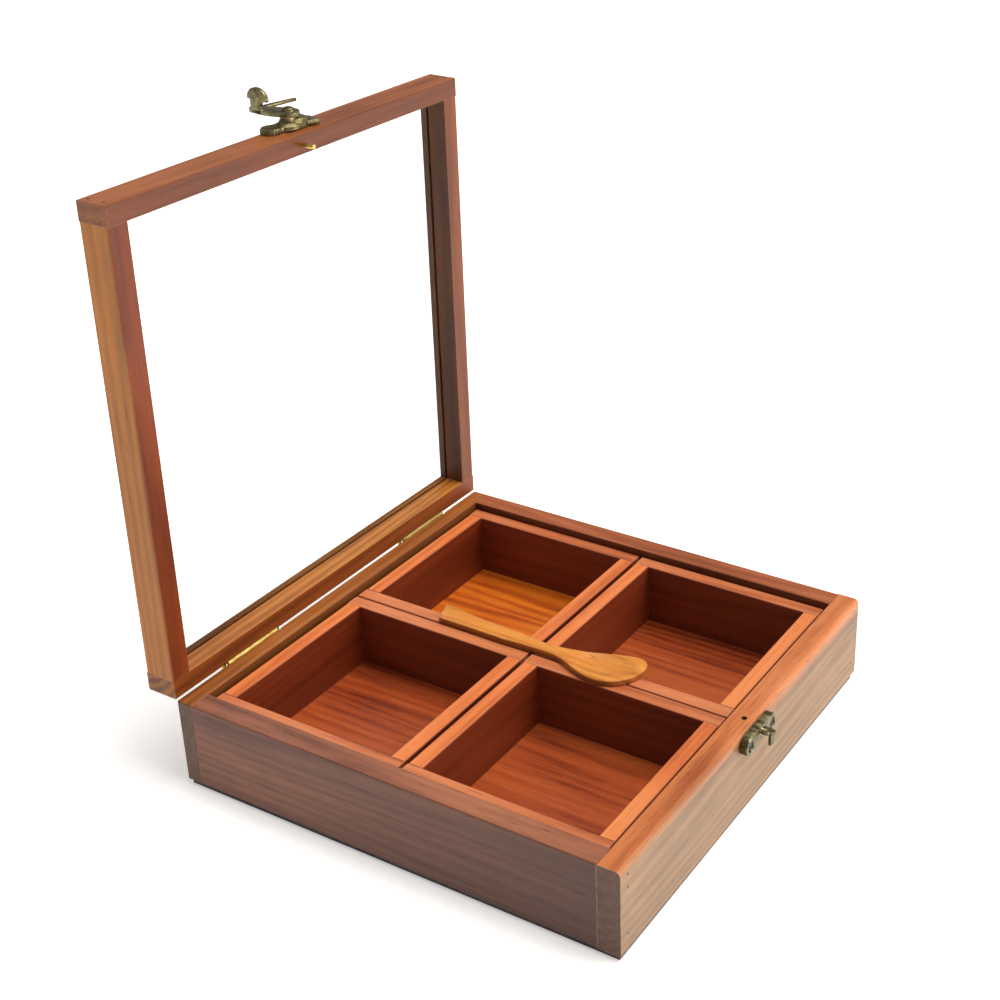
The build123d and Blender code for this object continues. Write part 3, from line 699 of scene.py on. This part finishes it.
plate_thick = 2.8
plate_right = both_sides([(-5.6, 3.6), (-3.6, 4.5), (5.4, 4.5), (7.2, 3.5), (8.6, 3.3), (10.0, 3.9),
                          (14.2, 3.9)])
plate_line = lobe(-lobe_x, 4.5, 60, 300, 16) + plate_right
latch_plate = soft_edges(drawn_plate("latch_plate", plate_line, 0, plate_thick), 0.35)
shoulder_low, shoulder_high = 1.0, 5.2
shoulder_line = both_sides([(0.0, 4.4), (5.2, 4.4), (8.3, 3.2)])
shoulder = soft_edges(drawn_plate("latch_shoulder", shoulder_line, shoulder_low, shoulder_high), 0.6)
bell_line = [(0, 1.0), (6.6, 1.0), (6.6, 2.6), (5.4, 3.3), (4.5, 4.3), (4.05, 5.4), (4.0, 6.15), (0, 6.15)]
bell_flattened = 0.75
bell = turned("latch_bell", bell_line, (-0.6, -0.8), 40)
bell.matrix_world = Matrix.Scale(bell_flattened, 4, (0, 1, 0))
ridges = flutes("latch_flute", lobe(-lobe_x, 4.55, 150, 285, 7), 0.2, 2.6, 0.42)
latch_base = joined(latch_plate, shoulder, bell, *ridges)
latch_base.name = "bronze_latch_base"
placed(latch_base, on_front(*base_centre, base_tilt, True))
settled(latch_base, bronze, "lid", "latch_base")

# %% [markdown]
# ## The lever and its rivet
#
# The lever turns on a rivet. A flat arm rises from a round eye, a thin tongue points to the right from the
# arm's end, and a tab with a round head stands out from the arm, for the finger. The three flat plates are
# drawn apart and joined, and the tab is drawn flat and then stood on its edge.

# %% Lever and rivet
arm_low, arm_high = 6.45, 8.6
arm_line = lobe(0, 5.0, -150, 20, 14)
arm_line += [(4.4, 3.2), (2.6, 6.4), (0.6, 10.0), (-0.9, 13.4), (-1.6, 15.2), (-1.2, 18.4), (-6.4, 18.4),
             (-7.7, 17.2), (-8.0, 15.0), (-8.0, 9.0), (-7.0, 4.4), (-5.2, 0.6)]
arm = soft_edges(drawn_plate("lever_arm", arm_line, arm_low, arm_high), 0.3)
tongue_low, tongue_high = 6.5, 7.9
tongue_y = 15.25
tongue_line = [(-4.0, tongue_y), (10.0, tongue_y), (17.8, tongue_y), (18.6, 15.7), (18.6, 16.4), (17.8, 16.9),
               (8.0, 17.8), (0, 18.4), (-4.0, 18.4)]
tongue = soft_edges(drawn_plate("lever_tongue", tongue_line, tongue_low, tongue_high), 0.25)
tab_thick = 1.6
tab_left_x = -8.0
neck_top = 12.9
head_middle, head_wide, head_tall = 11.0, 6.6, 5.2
head_angles = [math.radians(angle) for angle in range(0, 181, 15)]
tab_line = [(15.6, 6.6), (15.8, neck_top - 0.6), (16.3, neck_top), (17.2, neck_top - 0.2)]
tab_line += [(head_middle + head_wide * math.cos(angle), neck_top + 0.5 + head_tall * math.sin(angle))
             for angle in head_angles]
tab_line += [(4.9, neck_top - 0.2), (6.8, neck_top - 0.3), (8.6, neck_top - 1.2), (9.2, neck_top - 2.4),
             (9.0, 9.6), (8.4, 8.4), (8.2, 6.6)]
tab = soft_edges(drawn_plate("lever_tab", tab_line, 0, tab_thick), 0.3)
tab.matrix_world = Matrix(((0, 0, 1, tab_left_x), (1, 0, 0, 0), (0, 1, 0, 0), (0, 0, 0, 1)))
lever = joined(arm, tongue, tab)
lever.name = "bronze_latch_lever"
placed(lever, on_front(*pivot, lever_tilt, True))
settled(lever, bronze, "latch", "latch_lever")

rivet_line = [(0, 6.3), (1.35, 6.3), (1.35, 8.7), (2.9, 8.7), (2.85, 9.2), (2.4, 9.85), (1.5, 10.25),
              (0, 10.4)]
rivet = turned("bronze_latch_rivet", rivet_line, (0, 0), 32)
placed(rivet, on_front(*pivot, 0, True))
settled(rivet, bronze, "lid", "latch_rivet")

# %% [markdown]
# ## The catch
#
# The catch is a thick cast plate with round ends, a waist in its lower edge, and flutes on its upper edge.
# The tongue of the lever hooks under a nub in the middle, which has a narrow neck and a wider head. The same
# helpers make it. The screw holes are cut right through, and each has a wider seat for the screw's head.

# %% Catch
catch_centre = (-0.2, 39.3)
catch_thick = 4.2
catch_line = lobe(lobe_x, 4.6, -90, 90, 12) + [(3.0, 4.6), (-3.0, 4.6)] + lobe(-lobe_x, 4.6, 90, 270, 12)
catch_line += [(-6.6, -4.3), (-3.4, -2.9), (3.4, -2.9), (6.6, -4.3)]
catch_plate = soft_edges(drawn_plate("catch_plate_body", catch_line, 0, catch_thick), 0.35)
screw_x = 10.3
for cut_name, cut_line in (("screw_seat", [(0, 3.2), (2.2, 3.2), (2.9, 4.3), (0, 4.3)]),
                           ("screw_path", [(0, -1), (2.2, -1), (2.2, 5.0), (0, 5.0)])):
    cut_away(catch_plate, *(turned(cut_name, cut_line, (side * screw_x, 0)) for side in (-1, 1)))
flute_places = [(x, 4.6) for x in (-9.6, -8.4, -7.2, -4.0, -1.0, 0.2, 3.8, 5.0, 6.2, 7.4)]
ridges = flutes("catch_flute", flute_places, 0.3, 4.0, 0.38)
neck_y = 2.2
neck = turned("catch_neck", [(0, 3.8), (1.9, 3.8), (1.5, 4.6), (1.5, 8.4), (0, 8.4)], (0, neck_y), 24)
head_low, head_high = 8.25, 10.0
head_line = [(-2.5, -2.6), (2.5, -2.6), (2.5, 2.6), (1.6, 3.6), (-1.6, 3.6), (-2.5, 2.6)]
head = soft_edges(drawn_plate("catch_head", head_line, head_low, head_high), 0.4)
cheek_low, cheek_high = 4.0, 8.6
cheek_line = [(-2.3, neck_y - 0.4), (2.3, neck_y - 0.4), (2.3, 3.4), (-2.3, 3.4)]
cheek = soft_edges(drawn_plate("catch_cheek", cheek_line, cheek_low, cheek_high), 0.3)
catch = joined(catch_plate, neck, head, cheek, *ridges)
catch.name = "bronze_catch"
placed(catch, on_front(*catch_centre))
settled(catch, bronze, "case", "catch_plate")
